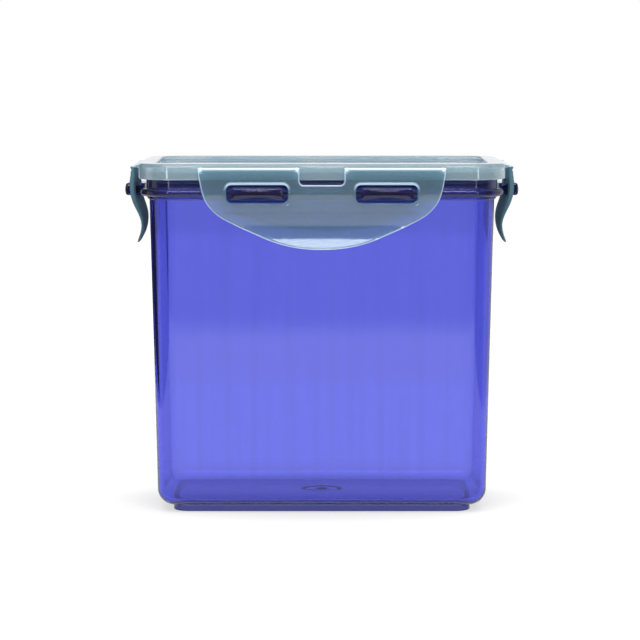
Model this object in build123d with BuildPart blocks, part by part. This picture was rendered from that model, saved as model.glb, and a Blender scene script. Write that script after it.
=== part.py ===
from build123d import *
from math import radians, tan
import os

# Tall rectangular food canister with a four-sided locking lid.
# Millimetres. +Z up, +X along the width, the front faces -Y.
# Origin: centre of the foot ring's underside.
# Names ending in _half are half widths along X, unless noted otherwise.

os.makedirs("parts", exist_ok=True)

# ---------------------------------------------------------------- plan outlines
# every outline is a rounded rectangle on the same four corner centres
corner_x, corner_y = 62.4, 26.3


def half_depth(half_width):
    """Half depth of the outline with this half width."""
    return half_width - corner_x + corner_y


def plan(half_width):
    """Width, depth and corner radius of the outline with this half width."""
    return 2 * half_width, 2 * half_depth(half_width), half_width - corner_x


# ---------------------------------------------------------------- container body
foot_h = 3.0
foot_half = 64.0
foot_r = 7.0
foot_t = 1.8
foot_overlap = 1.0           # the ring runs this far up into the tub

tub_top_z = 134.7            # top of the drafted wall
tub_top_half = 73.4
draft = 1.27                 # degrees
tub_bottom_half = round(tub_top_half - (tub_top_z - foot_h) * tan(radians(draft)), 2)
bottom_r = 7.0               # outer bottom radius
wall_t = 1.9
floor_t = 2.2
floor_z = foot_h + floor_t   # upper face of the floor

band_half = 74.1             # thicker band under the flange
band_overlap = 0.01          # into the tub below and the flange above
flange_z0, flange_z1 = 136.0, 139.2
flange_half = 77.4
flange_round = 1.4
rim_half = 74.7              # rim wall above the flange
rim_t = 2.2
rim_top_z = 146.3
rim_round = 0.7

# round mark on the floor: a sunk ring and a dimple
mark_r = 8.3
mark_ring_t = 0.5
dimple_r = 1.3
mark_depth = 0.35

# gussets under the side lugs
gusset_y = 9.0               # middle of each, either side of Y = 0
gusset_t = 1.2
gusset_root_x = tub_top_half - 0.6
gusset_tip_x = 76.3
gusset_top_z = flange_z0 + 0.5
gusset_tip_z = flange_z0 - 0.3
gusset_bottom_z = 131.4

# locking lugs
lug_w = 22.3
lug_pitch = 27.2             # lug centres from the middle, long sides
lug_z0, lug_z1 = 135.1, 140.4  # underside at the ends, top
lug_arch = 1.0               # rise of the underside at the middle
lug_foot = 2.4               # flat at each end of the arch
lug_reach = 7.5              # how far it stands out from the flange
lug_root = 1.2               # how far it runs into the flange
lug_top_round = 1.2
lug_face_round = 1.1

# ---------------------------------------------------------------- lid
lid_half = 78.1
lid_z0, lid_z1 = 143.2, 150.0
lid_t = 1.6
lid_round = 1.9
recess_half = 70.6           # recessed panel, takes the foot of another canister
recess_z = 148.4
recess_round = 0.6
plug_half = 71.9             # wall that enters the rim
plug_t = 1.6
plug_z0 = 141.5
plug_overlap = 0.2           # above the recess level
cut_margin = 1.0             # cuts run this far past the top

seal_gap_z = 0.05            # above and below the seal ring
seal_gap_side = 0.1
seal_round = 0.5

# ---------------------------------------------------------------- hinges and flaps
# "out" is the distance outward from the lid's skirt. The flap folds towards the
# film's upper face, so the fold line lies there: out = hinge_out, z = film_top_z
hinge_z = 148.3              # middle of the film
film_out0, film_out1 = 1.8, 2.6
film_t = 0.5
hinge_out = (film_out0 + film_out1) / 2
film_top_z = hinge_z + film_t / 2
film_bottom_z = hinge_z - film_t / 2
film_end_gap = 0.4           # the film stops this far short of each ledge end

# section of the hinge ledge on the lid, (out, z)
ledge_section = [(-1.0, 149.3), (film_out0, film_top_z), (film_out0, film_bottom_z),
                 (-1.0, 147.3)]

long_flap_half = 52.0        # front and back flaps
short_flap_half = 25.0       # left and right flaps, along Y
flap_top_z = 149.5           # top of the trimming outline
trim_depth = 30.0            # depth of the trimming and slot cuts

window_half = 9.5            # gap between the two hinges of a long flap
window_z = 141.4             # its lower edge
window_h = 10.0
window_r = 1.8

slot_w, slot_z0, slot_z1 = 25.7, 134.0, 141.3
slot_h = slot_z1 - slot_z0
slot_mid_z = (slot_z0 + slot_z1) / 2
slot_r = 2.0
border_w, border_h = 1.1, 0.6  # raised border round a slot
border_back = 0.8            # how far the border is sunk into the flap
border_z0, border_z1 = 131.0, 145.5  # the border skin uses section points between these

# flap section, (out, z): outer face from hinge to tip, inner face from tip to hinge
flap_outer = [
    (2.62, 148.5), (2.88, 148.36), (3.1, 148.1), (3.25, 146.7), (3.4, 145.0), (3.7, 143.3),
    (3.88, 141.6), (3.9, 139.9), (3.82, 138.2), (3.65, 136.5), (3.3, 134.8), (2.6, 132.4),
    (1.75, 130.3), (0.75, 127.9), (0.05, 125.8), (-0.35, 123.6), (-0.25, 121.4),
    (0.25, 119.2), (1.0, 117.2), (1.85, 115.3), (2.55, 114.0),
]
flap_inner = [
    (1.3, 114.1), (0.4, 115.5), (-0.45, 117.3), (-1.15, 119.2), (-1.6, 121.4), (-1.7, 123.4),
    (-1.6, 125.2), (-1.2, 127.2), (-0.55, 129.2), (0.25, 131.2), (0.95, 133.0), (1.5, 134.9),
    (1.8, 136.5), (1.92, 138.2), (1.95, 139.9), (1.88, 141.6), (1.78, 143.3), (1.78, 145.0),
    (2.0, 146.6), (2.62, 148.05),
]

# flap outline from the top down, (half width, z)
long_outline = [
    (51.9, 146.0), (51.4, 143.0), (50.3, 137.9), (48.7, 133.9), (44.3, 128.7),
    (37.0, 124.4), (28.5, 120.5), (20.1, 117.1), (11.7, 115.0), (3.3, 114.15),
]
short_outline = [
    (25.0, 146.0), (24.8, 141.5), (24.3, 137.5), (23.2, 133.5), (20.8, 129.3),
    (17.3, 125.0), (13.3, 121.0), (9.2, 117.6), (5.0, 115.2), (1.6, 114.15),
]


# ---------------------------------------------------------------- helpers
def save(part, name):
    part.label = name
    export_step(part, f"parts/{name}.step")


def mirrored(part, plane):
    with BuildPart() as image:
        mirror(part, about=plane)
    return image.part


def edges_at(builder, z):
    """Edges that lie level at height z."""
    return builder.edges().filter_by_position(Axis.Z, z - 0.01, z + 0.01)


def placed(points, face, side=-1, shift=0.0):
    """(out, z) points set on the skirt face at side * face, moved outward by shift."""
    return [(side * (face + out + shift), z) for out, z in points]


# ---------------------------------------------------------------- pieces
def make_lug():
    """One lug, pointing along -Y from the flange face at Y = 0."""
    end = lug_w / 2
    arch_end = end - lug_foot
    with BuildPart() as lug:
        with BuildSketch(Plane.XZ.offset(-lug_root)):
            with BuildLine():
                Polyline((-arch_end, lug_z0), (-end, lug_z0), (-end, lug_z1),
                         (end, lug_z1), (end, lug_z0), (arch_end, lug_z0))
                ThreePointArc((arch_end, lug_z0), (0, lug_z0 + lug_arch), (-arch_end, lug_z0))
            make_face()
        extrude(amount=lug_reach + lug_root)
        fillet(lug.edges().filter_by(Axis.Y).sort_by(Axis.Z)[-2:], lug_top_round)
        fillet(lug.faces().sort_by(Axis.Y)[0].edges(), lug_face_round)
    return lug.part


def make_container_body():
    lug = make_lug()
    with BuildPart() as body:
        # drafted tub
        with BuildSketch(Plane.XY.offset(foot_h)):
            RectangleRounded(*plan(tub_bottom_half))
        extrude(amount=tub_top_z - foot_h, taper=-draft)
        fillet(body.faces().sort_by(Axis.Z)[0].edges(), bottom_r)
        # band, flange and rim wall; the flange is rounded on its own, then added
        with BuildSketch(Plane.XY.offset(tub_top_z - band_overlap)):
            RectangleRounded(*plan(band_half))
        extrude(amount=flange_z0 - tub_top_z + 2 * band_overlap)
        with BuildSketch(Plane.XY.offset(flange_z0)):
            RectangleRounded(*plan(flange_half))
        flange = extrude(amount=flange_z1 - flange_z0, mode=Mode.PRIVATE)
        with BuildSketch(Plane.XY.offset(flange_z1)):
            RectangleRounded(*plan(rim_half))
        extrude(amount=rim_top_z - flange_z1)
        with BuildPart(mode=Mode.PRIVATE) as rounded_flange:
            add(flange)
            fillet(rounded_flange.edges().filter_by(Axis.Z, reverse=True), flange_round)
        add(rounded_flange.part)
        # foot ring
        foot_inner = foot_half - foot_t
        with BuildSketch(Plane.XY):
            RectangleRounded(2 * foot_half, 2 * half_depth(foot_half), foot_r)
            RectangleRounded(2 * foot_inner, 2 * half_depth(foot_inner), foot_r - foot_t,
                             mode=Mode.SUBTRACT)
        extrude(amount=foot_h + foot_overlap)
        # cavity: drafted inside, then a wider mouth inside the rim wall
        with BuildSketch(Plane.XY.offset(floor_z)):
            RectangleRounded(*plan(tub_bottom_half - wall_t))
        extrude(amount=flange_z0 - floor_z, taper=-draft, mode=Mode.SUBTRACT)
        with BuildSketch(Plane.XY.offset(flange_z0)):
            RectangleRounded(*plan(rim_half - rim_t))
        extrude(amount=rim_top_z - flange_z0 + cut_margin, mode=Mode.SUBTRACT)
        fillet(edges_at(body, floor_z), bottom_r - wall_t)
        fillet(edges_at(body, rim_top_z), rim_round)
        # lugs: two on the front, two on the back, one on each side
        front_y = half_depth(flange_half)
        with Locations((-lug_pitch, -front_y), (lug_pitch, -front_y)):
            add(lug)
        with Locations(Location((-lug_pitch, front_y, 0), (0, 0, 180)),
                       Location((lug_pitch, front_y, 0), (0, 0, 180)),
                       Location((-flange_half, 0, 0), (0, 0, -90)),
                       Location((flange_half, 0, 0), (0, 0, 90))):
            add(lug)
        # two gussets under each side lug
        for y in (-gusset_y, gusset_y):
            for side in (-1, 1):
                with BuildSketch(Plane.XZ.offset(gusset_t / 2 - y)):
                    Polygon((side * gusset_root_x, gusset_top_z),
                            (side * gusset_tip_x, gusset_top_z),
                            (side * gusset_tip_x, gusset_tip_z),
                            (side * gusset_root_x, gusset_bottom_z),
                            align=None)
                extrude(amount=-gusset_t)
        # round mark on the floor
        with BuildSketch(Plane.XY.offset(floor_z)):
            Circle(mark_r)
            Circle(mark_r - mark_ring_t, mode=Mode.SUBTRACT)
            Circle(dimple_r)
        extrude(amount=-mark_depth, mode=Mode.SUBTRACT)
    return body.part


def make_lid_panel():
    with BuildPart() as lid:
        with BuildSketch(Plane.XY.offset(lid_z0)):
            RectangleRounded(*plan(lid_half))
        extrude(amount=lid_z1 - lid_z0)
        fillet(lid.faces().sort_by(Axis.Z)[-1].edges(), lid_round)
        # inside of the skirt, up to the underside of the border
        with BuildSketch(Plane.XY.offset(lid_z0)):
            RectangleRounded(*plan(lid_half - lid_t))
        extrude(amount=recess_z - lid_z0, mode=Mode.SUBTRACT)
        # plug wall with the recessed panel across it
        with BuildSketch(Plane.XY.offset(plug_z0)):
            RectangleRounded(*plan(plug_half))
        extrude(amount=recess_z - plug_z0 + plug_overlap)
        with BuildSketch(Plane.XY.offset(plug_z0)):
            RectangleRounded(*plan(plug_half - plug_t))
        extrude(amount=recess_z - lid_t - plug_z0, mode=Mode.SUBTRACT)
        # recess in the top, its upper edge rounded
        with BuildSketch(Plane.XY.offset(recess_z)):
            RectangleRounded(*plan(recess_half))
        extrude(amount=lid_z1 - recess_z + cut_margin, mode=Mode.SUBTRACT)
        fillet(edges_at(lid, lid_z1).filter_by(
            lambda edge: abs(edge.center().X) < recess_half + 0.5
            and abs(edge.center().Y) < half_depth(recess_half) + 0.5), recess_round)
        # hinge ledges: two on each long side, one on each short side
        for side in (-1, 1):
            for x in (-long_flap_half, window_half):
                with BuildSketch(Plane.YZ.offset(x)):
                    Polygon(*placed(ledge_section, half_depth(lid_half), side), align=None)
                extrude(amount=long_flap_half - window_half)
            with BuildSketch(Plane.XZ):
                Polygon(*placed(ledge_section, lid_half, side), align=None)
            extrude(amount=short_flap_half, both=True)
    return lid.part


def make_seal_ring():
    """Ring between the rim's top and the lid, around the plug wall."""
    with BuildPart() as ring:
        with BuildSketch(Plane.XY.offset(rim_top_z + seal_gap_z)):
            RectangleRounded(*plan(lid_half - lid_t - seal_gap_side))
            RectangleRounded(*plan(plug_half + seal_gap_side), mode=Mode.SUBTRACT)
        extrude(amount=recess_z - rim_top_z - 2 * seal_gap_z)
        fillet(ring.edges().filter_by(Axis.Z, reverse=True), seal_round)
    return ring.part


def make_flap(section_plane, face, half_width, outline, slot_places,
              border_plane, border_depth, trim_plane, window=False):
    """Flap outside the skirt face at -face, swept along the normal of section_plane.

    The slot borders are cut from border_plane, the outline and slots from trim_plane.
    """
    outer = placed(flap_outer, face)
    inner = placed(flap_inner, face)
    border_points = [(out, z) for out, z in flap_outer if border_z0 < z < border_z1]
    skin = placed(border_points, face, shift=border_h)
    back = placed(reversed(border_points), face, shift=-border_back)
    top_half, shoulder_z = outline[0]
    with BuildPart() as flap:
        with BuildSketch(section_plane):
            with BuildLine():
                Spline(*outer)
                Line(outer[-1], inner[0])
                Spline(*inner)
                Line(inner[-1], outer[0])
            make_face()
        extrude(amount=half_width, both=True)
        # raised slot borders: a thin skin over the outer surface
        with BuildSketch(section_plane):
            Polygon(*(skin + back), align=None)
        border_skin = extrude(amount=half_width, both=True, mode=Mode.PRIVATE)
        with BuildPart(mode=Mode.PRIVATE) as borders:
            with BuildSketch(border_plane):
                with Locations(*slot_places):
                    RectangleRounded(slot_w + 2 * border_w, slot_h + 2 * border_w,
                                     slot_r + border_w)
            extrude(amount=border_depth)
            add(border_skin, mode=Mode.INTERSECT)
        add(borders.part)
        # half-moon outline
        with BuildSketch(trim_plane):
            with BuildLine():
                Spline(*(outline + [(-x, z) for x, z in reversed(outline)]))
                Polyline((-top_half, shoulder_z), (-half_width, flap_top_z),
                         (half_width, flap_top_z), (top_half, shoulder_z))
            make_face()
        extrude(amount=trim_depth, mode=Mode.INTERSECT)
        # slots for the lugs, and the gap between the two hinges of a long flap
        with BuildSketch(trim_plane):
            with Locations(*slot_places):
                RectangleRounded(slot_w, slot_h, slot_r)
            if window:
                with Locations((0, window_z + window_h / 2)):
                    RectangleRounded(2 * window_half, window_h, window_r)
        extrude(amount=trim_depth, mode=Mode.SUBTRACT)
    return flap.part


def make_hinge(plane, face, length, both=False):
    """Film strip outside the skirt face at -face."""
    with BuildPart() as hinge:
        with BuildSketch(plane):
            with Locations((-face - hinge_out, hinge_z)):
                Rectangle(film_out1 - film_out0, film_t)
        extrude(amount=length, both=both)
    return hinge.part


# ---------------------------------------------------------------- build and save
save(make_container_body(), "container_body")
save(make_lid_panel(), "lid_panel")
save(make_seal_ring(), "seal_ring")

front_flap = make_flap(
    Plane.YZ, half_depth(lid_half), long_flap_half, long_outline,
    slot_places=[(-lug_pitch, slot_mid_z), (lug_pitch, slot_mid_z)],
    border_plane=Plane.XZ.offset(40), border_depth=12,
    trim_plane=Plane.XZ.offset(30), window=True)
save(front_flap, "front_flap")
save(mirrored(front_flap, Plane.XZ), "back_flap")

left_flap = make_flap(
    Plane.XZ, lid_half, short_flap_half, short_outline,
    slot_places=[(0, slot_mid_z)],
    border_plane=Plane.YZ.offset(-90), border_depth=14,
    trim_plane=Plane.YZ.offset(-95))
save(left_flap, "left_flap")
save(mirrored(left_flap, Plane.YZ), "right_flap")

front_hinge_left = make_hinge(
    Plane.YZ.offset(-long_flap_half + film_end_gap), half_depth(lid_half),
    long_flap_half - window_half - 2 * film_end_gap)
front_hinge_right = mirrored(front_hinge_left, Plane.YZ)
save(front_hinge_left, "front_hinge_left")
save(front_hinge_right, "front_hinge_right")
save(mirrored(front_hinge_left, Plane.XZ), "back_hinge_left")
save(mirrored(front_hinge_right, Plane.XZ), "back_hinge_right")

left_hinge = make_hinge(Plane.XZ, lid_half, short_flap_half - film_end_gap, both=True)
save(left_hinge, "left_hinge")
save(mirrored(left_hinge, Plane.YZ), "right_hinge")
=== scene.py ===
# A clear violet food container with a milky lid. Four flaps hang from thin hinge films on the
# lid, and a slot in each goes over a lug on the container's flange; the long sides have two.
# It stands upright on z = 0, centred on the z axis: long sides along x, front towards -y.
# Lengths are in millimetres until new_object() turns them into metres.
import math
from functools import reduce
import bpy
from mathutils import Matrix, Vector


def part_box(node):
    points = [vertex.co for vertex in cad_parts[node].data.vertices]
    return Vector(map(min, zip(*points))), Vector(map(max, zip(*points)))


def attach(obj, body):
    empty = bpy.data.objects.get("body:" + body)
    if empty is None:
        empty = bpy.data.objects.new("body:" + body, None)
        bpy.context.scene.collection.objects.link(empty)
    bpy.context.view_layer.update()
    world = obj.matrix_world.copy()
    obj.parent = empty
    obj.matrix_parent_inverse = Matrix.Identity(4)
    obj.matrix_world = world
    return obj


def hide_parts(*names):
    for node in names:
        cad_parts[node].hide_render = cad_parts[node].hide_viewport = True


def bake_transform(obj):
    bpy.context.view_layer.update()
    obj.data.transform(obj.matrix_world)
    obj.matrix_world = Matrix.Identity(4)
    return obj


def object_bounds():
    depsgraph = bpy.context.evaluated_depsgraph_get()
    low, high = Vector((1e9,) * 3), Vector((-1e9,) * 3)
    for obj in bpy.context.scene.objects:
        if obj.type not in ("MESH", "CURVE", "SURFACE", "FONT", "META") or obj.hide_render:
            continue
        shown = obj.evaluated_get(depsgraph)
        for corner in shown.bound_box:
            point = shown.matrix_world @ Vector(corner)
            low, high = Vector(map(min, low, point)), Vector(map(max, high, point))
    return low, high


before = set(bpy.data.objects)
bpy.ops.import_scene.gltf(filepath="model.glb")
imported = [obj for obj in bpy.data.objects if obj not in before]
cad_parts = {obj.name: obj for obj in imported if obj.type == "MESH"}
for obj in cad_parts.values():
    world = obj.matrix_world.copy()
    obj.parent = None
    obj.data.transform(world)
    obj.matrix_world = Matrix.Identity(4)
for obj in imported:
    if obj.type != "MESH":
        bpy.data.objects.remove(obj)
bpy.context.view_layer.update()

from types import SimpleNamespace

import bmesh
import bpy
import numpy as np
from mathutils import Vector
from mathutils.geometry import delaunay_2d_cdt

MM = 0.001


# ------------------------------------------------------------------ main sizes
def mm_box(node):
    low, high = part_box(node)
    return np.array(low) / MM, np.array(high) / MM


def per_side(long, short):
    """One value for the long sides and one for the short ones, in building order."""
    return {"front": long, "back": long, "left": short, "right": short}


body_low, body_high = mm_box("container_body")
lid_low, lid_high = mm_box("lid_panel")
seal_low, seal_high = mm_box("seal_ring")
film_low, film_high = mm_box("front_hinge_right")

# outlines are rounded rectangles, given by their half width (HX)
HALF_EXCESS = lid_high[0] - lid_high[1]    # half width minus half depth, the same for all
CORNER_CENTRE = 62.4                       # x of the corner centres
LEDGE_OUT = 1.8                            # hinge ledges stand out of the lid's skirt
LID_HX = lid_high[0] - LEDGE_OUT
LID_HY = lid_high[1] - LEDGE_OUT
LID_TOP = lid_high[2]
PLUG_Z = lid_low[2]
SKIRT_Z = LID_TOP - 6.8
RECESS_Z = LID_TOP - 1.6
UNDER_Z = RECESS_Z - 1.6
LID_FACE = per_side(LID_HY, LID_HX)

FLANGE_HX = body_high[0] - 7.5             # the lugs stand 7.5 out of the flange
RIM_TOP = body_high[2]
FLANGE_Z0, FLANGE_Z1 = RIM_TOP - 10.3, RIM_TOP - 7.1
FLANGE_FACE = per_side(FLANGE_HX - HALF_EXCESS, FLANGE_HX)

LUG_Z0, LUG_Z1 = RIM_TOP - 11.2, RIM_TOP - 5.9
LUG_WIDTH = 22.3
LUG_X = 27.2
LUG_CENTRES = per_side((-LUG_X, LUG_X), (0.0,))   # also the flap slots' centres

# across a hinge film: distance out from the lid's skirt, and height
FILM_OUT0 = -film_high[1] - LID_HY
FILM_OUT1 = -film_low[1] - LID_HY
FILM_Z0, FILM_Z1 = film_low[2], film_high[2]

NOTCH_HX = 9.5                             # gap in the middle of the long hinges
LEDGE_SPANS = per_side(((-52.0, -NOTCH_HX), (NOTCH_HX, 52.0)), ((-25.0, 25.0),))
HINGE_SUFFIXES = per_side(("_hinge_left", "_hinge_right"), ("_hinge",))

DRAFT_DEGREES = 1.27
DRAFT = math.radians(DRAFT_DEGREES)
SLOPE = math.tan(DRAFT)


# ------------------------------------------------------------------ outlines
def rounded(corners, closed=False, step=11.0):
    """Polyline of (x, y, radius) with each corner an arc, cut about every step degrees."""
    count = len(corners)
    points = []
    for i, (x, y, radius) in enumerate(corners):
        corner = np.array((x, y), float)
        if radius <= 0 or (not closed and i in (0, count - 1)):
            points.append(corner)
            continue
        back = np.array(corners[i - 1][:2], float) - corner
        ahead = np.array(corners[(i + 1) % count][:2], float) - corner
        back_length, ahead_length = np.linalg.norm(back), np.linalg.norm(ahead)
        back, ahead = back / back_length, ahead / ahead_length
        angle = math.acos(max(-1, min(1, float(back @ ahead))))
        if angle > math.pi - 1e-3:
            points.append(corner)
            continue
        trim = min(radius / math.tan(angle / 2), back_length * 0.49, ahead_length * 0.49)
        radius = trim * math.tan(angle / 2)
        bisector = (back + ahead) / np.linalg.norm(back + ahead)
        centre = corner + bisector * (radius / math.sin(angle / 2))
        start = corner + back * trim - centre
        end = corner + ahead * trim - centre
        turn = math.pi - angle
        pieces = max(3, int(math.ceil(math.degrees(turn) / step)))
        sign = 1 if start[0] * end[1] - start[1] * end[0] > 0 else -1
        for j in range(pieces + 1):
            theta = sign * turn * j / pieces
            cos, sin = math.cos(theta), math.sin(theta)
            points.append(centre + np.array((cos * start[0] - sin * start[1],
                                             sin * start[0] + cos * start[1])))
    return np.array(points)


def densify(points, longest, closed=False, support=0.25):
    """Adds points on long stretches, and one close to each end of them."""
    dense = []
    count = len(points)
    for i in range(count if closed else count - 1):
        start, end = points[i], points[(i + 1) % count]
        length = np.linalg.norm(end - start)
        dense.append(start)
        if length > longest:
            pieces = math.ceil(length / longest)
            stops = [support / length, *(j / pieces for j in range(1, pieces)),
                     1 - support / length]
            dense += [start + (end - start) * stop for stop in stops]
    if not closed:
        dense.append(points[-1])
    return np.array(dense)


def curve(points, samples):
    """Smooth curve through points (Catmull-Rom by chord), with samples to a span."""
    def between(a, b, start, end, t):
        return (end - t) / (end - start) * a + (t - start) / (end - start) * b

    knots = np.array(points, float)
    knots = np.vstack([2 * knots[0] - knots[1], knots, 2 * knots[-1] - knots[-2]])
    smooth_points = []
    for i in range(1, len(knots) - 2):
        p0, p1, p2, p3 = knots[i - 1:i + 3]
        t0 = 0.0
        t1 = t0 + math.sqrt(np.linalg.norm(p1 - p0))
        t2 = t1 + math.sqrt(np.linalg.norm(p2 - p1))
        t3 = t2 + math.sqrt(np.linalg.norm(p3 - p2))
        for t in np.linspace(t1, t2, samples, endpoint=False):
            middle = between(p1, p2, t1, t2, t)
            early = between(between(p0, p1, t0, t1, t), middle, t0, t2, t)
            late = between(middle, between(p2, p3, t2, t3, t), t1, t3, t)
            smooth_points.append(between(early, late, t1, t2, t))
    smooth_points.append(knots[-2])
    return np.array(smooth_points)


def evenly(loop, step):
    """Closed loop resampled to even steps, keeping its sharp corners."""
    points = np.vstack([loop, loop[:1]])
    last = len(points) - 1
    breaks = [0]
    for i in range(1, last):
        back, ahead = points[i] - points[i - 1], points[i + 1] - points[i]
        lengths = max(np.linalg.norm(back) * np.linalg.norm(ahead), 1e-12)
        if float(back @ ahead) / lengths < 0.8:
            breaks.append(i)
    runs = []
    for first, end in zip(breaks, breaks[1:] + [last]):
        run = points[first:end + 1]
        along = np.r_[0, np.cumsum(np.linalg.norm(np.diff(run, axis=0), axis=1))]
        pieces = max(1, int(round(along[-1] / step)))
        stops = np.linspace(0, along[-1], pieces + 1)[:-1]
        runs.append(np.c_[np.interp(stops, along, run[:, 0]),
                          np.interp(stops, along, run[:, 1])])
    return np.vstack(runs)


def inset(loop, depth):
    """Closed 2-D loop moved inwards by depth."""
    ahead, behind = np.roll(loop, -1, 0), np.roll(loop, 1, 0)
    area = np.sum(loop[:, 0] * ahead[:, 1] - ahead[:, 0] * loop[:, 1])
    sign = 1 if area > 0 else -1

    def unit(rows):
        return rows / np.maximum(np.linalg.norm(rows, axis=1)[:, None], 1e-9)

    def normal(edge):
        edge = unit(edge)
        return sign * np.c_[-edge[:, 1], edge[:, 0]]

    first, second = normal(loop - behind), normal(ahead - loop)
    mitre = unit(first + second)
    cos = np.clip(np.sum(mitre * first, axis=1), 0.5, 1)
    return loop + mitre * (depth / cos)[:, None]


def distance(points, loop):
    """Distance from each point to a closed loop, worked in batches to save memory."""
    batch = 2000
    edge = np.roll(loop, -1, 0) - loop
    squared = np.maximum(np.sum(edge * edge, axis=1), 1e-12)
    result = np.empty(len(points))
    for i in range(0, len(points), batch):
        offset = points[i:i + batch, None, :] - loop
        t = np.clip(np.sum(offset * edge, axis=2) / squared, 0, 1)
        gap = offset - t[..., None] * edge
        result[i:i + batch] = np.sqrt(np.min(np.sum(gap ** 2, axis=2), axis=1))
    return result


def contains(loop, points):
    x, y = points[:, 0], points[:, 1]
    inside = np.zeros(len(points), bool)
    for (x1, y1), (x2, y2) in zip(loop, np.roll(loop, -1, 0)):
        if y1 != y2:
            inside ^= ((y1 > y) != (y2 > y)) & (x < (x2 - x1) * (y - y1) / (y2 - y1) + x1)
    return inside


def mix(start, end, t):
    return start * (1 - t) + end * t


# ------------------------------------------------------------------ rings
CORNER_STEPS, X_STEPS, Y_STEPS = 24, 46, 18
RING_COUNT = 2 * X_STEPS + 2 * Y_STEPS + 4 * CORNER_STEPS


def ring(half_x, z, centre=CORNER_CENTRE):
    """Rounded rectangle at height z, anticlockwise, whose corner radius is half_x - centre."""
    half_y = half_x - HALF_EXCESS
    radius = max(half_x - centre, 0.05)
    cx, cy = half_x - radius, half_y - radius
    points = []
    for quarter, (sx, sy) in enumerate(((1, 1), (-1, 1), (-1, -1), (1, -1))):
        if quarter % 2 == 0:
            points += [(sx * half_x, sy * (-cy + 2 * cy * k / Y_STEPS)) for k in range(Y_STEPS)]
        else:
            points += [(sx * (-cx + 2 * cx * k / X_STEPS), sy * half_y) for k in range(X_STEPS)]
        for k in range(CORNER_STEPS):
            angle = math.pi / 2 * (quarter + k / CORNER_STEPS)
            points.append((sx * cx + radius * math.cos(angle),
                           sy * cy + radius * math.sin(angle)))
    return np.c_[np.array(points), np.full(RING_COUNT, float(z))]


def circle(radius, z):
    """Circle of the same count as ring(), for round marks in a flat face."""
    angle = 2 * math.pi * (np.arange(RING_COUNT) - Y_STEPS / 2) / RING_COUNT
    return np.c_[radius * np.cos(angle), radius * np.sin(angle), np.full(RING_COUNT, float(z))]


def turned(side, along, outward, up):
    """Points given along a side, outward from the z axis and up, turned to face that side."""
    along, outward, up = np.broadcast_arrays(along, outward, up)
    x, y = {"front": (along, -outward), "back": (-along, outward),
            "left": (-outward, -along), "right": (outward, along)}[side]
    return np.c_[x, y, up]


# ------------------------------------------------------------------ meshes
def new_object(name, verts, faces):
    mesh = bpy.data.meshes.new(name)
    mesh.from_pydata([tuple(v * MM) for v in np.asarray(verts, float)], [], faces)
    mesh.validate()
    obj = bpy.data.objects.new(name, mesh)
    bpy.context.scene.collection.objects.link(obj)
    return obj


def fix_normals(obj, merge=1e-7):
    """Merges coincident vertices and turns every face outwards."""
    bm = bmesh.new()
    bm.from_mesh(obj.data)
    bmesh.ops.remove_doubles(bm, verts=bm.verts, dist=merge)
    bmesh.ops.dissolve_degenerate(bm, edges=bm.edges, dist=merge)
    bmesh.ops.recalc_face_normals(bm, faces=bm.faces)
    if bm.calc_volume(signed=True) < 0:
        bmesh.ops.reverse_faces(bm, faces=bm.faces)
    bm.to_mesh(obj.data)
    bm.free()
    return obj


def smooth(obj, degrees, weighted=True):
    obj.data.shade_smooth()
    obj.data.set_sharp_from_angle(angle=math.radians(degrees))
    if weighted:
        modifier = obj.modifiers.new("weighted normals", "WEIGHTED_NORMAL")
        modifier.keep_sharp = True
        modifier.weight = 60
    return obj


def band_faces(rings, wrap=False):
    """Quads between neighbouring rings of equal count; wrap joins the last to the first."""
    count, size = len(rings), len(rings[0])
    faces = []
    for i in range(count if wrap else count - 1):
        low, high = i * size, ((i + 1) % count) * size
        for k in range(size):
            after = (k + 1) % size
            faces.append((low + k, low + after, high + after, high + k))
    return faces


def sweep(name, rings, pole_start=None, pole_end=None, wrap=False):
    """Skin over rings, closed by a pole at each end or by wrapping round."""
    size = len(rings[0])
    verts = np.vstack(rings)
    faces = band_faces(rings, wrap)
    for pole, base in ((pole_start, 0), (pole_end, (len(rings) - 1) * size)):
        if pole is not None:
            faces += [(base + k, base + (k + 1) % size, len(verts)) for k in range(size)]
            verts = np.vstack([verts, pole])
    return fix_normals(new_object(name, verts, faces))


def capped(name, rings):
    """Skin over rings, with one flat face at each end."""
    size, count = len(rings[0]), len(rings)
    caps = [tuple(range(size)), tuple(range((count - 1) * size, count * size))]
    return fix_normals(new_object(name, np.vstack(rings), caps + band_faces(rings)))


def prism(loop, start, end, radii, place, crown=0.0):
    """Loop extruded from start to end, its end edges rounded by radii.
    place maps (loop points, position along) to 3-D points."""
    quarter = np.linspace(0, math.pi / 2, 7)
    start_radius, end_radius = radii
    stations = [(start, 0)]
    if start_radius > 0:
        stations = [(start + start_radius * (1 - math.cos(t)), start_radius * (1 - math.sin(t)))
                    for t in quarter]
    stations += [(end - end_radius * (1 - math.cos(t)), end_radius * (1 - math.sin(t)))
                 for t in quarter[::-1]]
    sections = [(inset(loop, depth) if depth > 1e-6 else loop, at) for at, depth in stations]
    if crown:
        # the end face rises to a ridge that follows the middle of the section
        section, at = sections[-1]
        x, z = section[:, 0], section[:, 1]

        def edge_z(chosen):
            order = np.argsort(x[chosen])
            return np.interp(x, x[chosen][order], z[chosen][order])

        middle_z = (edge_z(z > z.mean()) + edge_z(z <= z.mean())) / 2
        for t in (0.12, 0.28, 0.46, 0.64, 0.82, 0.94):
            sections.append((np.c_[x * (1 - 0.10 * t), mix(z, middle_z, t)],
                             at + crown * (1 - (1 - t) ** 2)))
    return capped("prism", [place(section, at) for section, at in sections])


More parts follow.
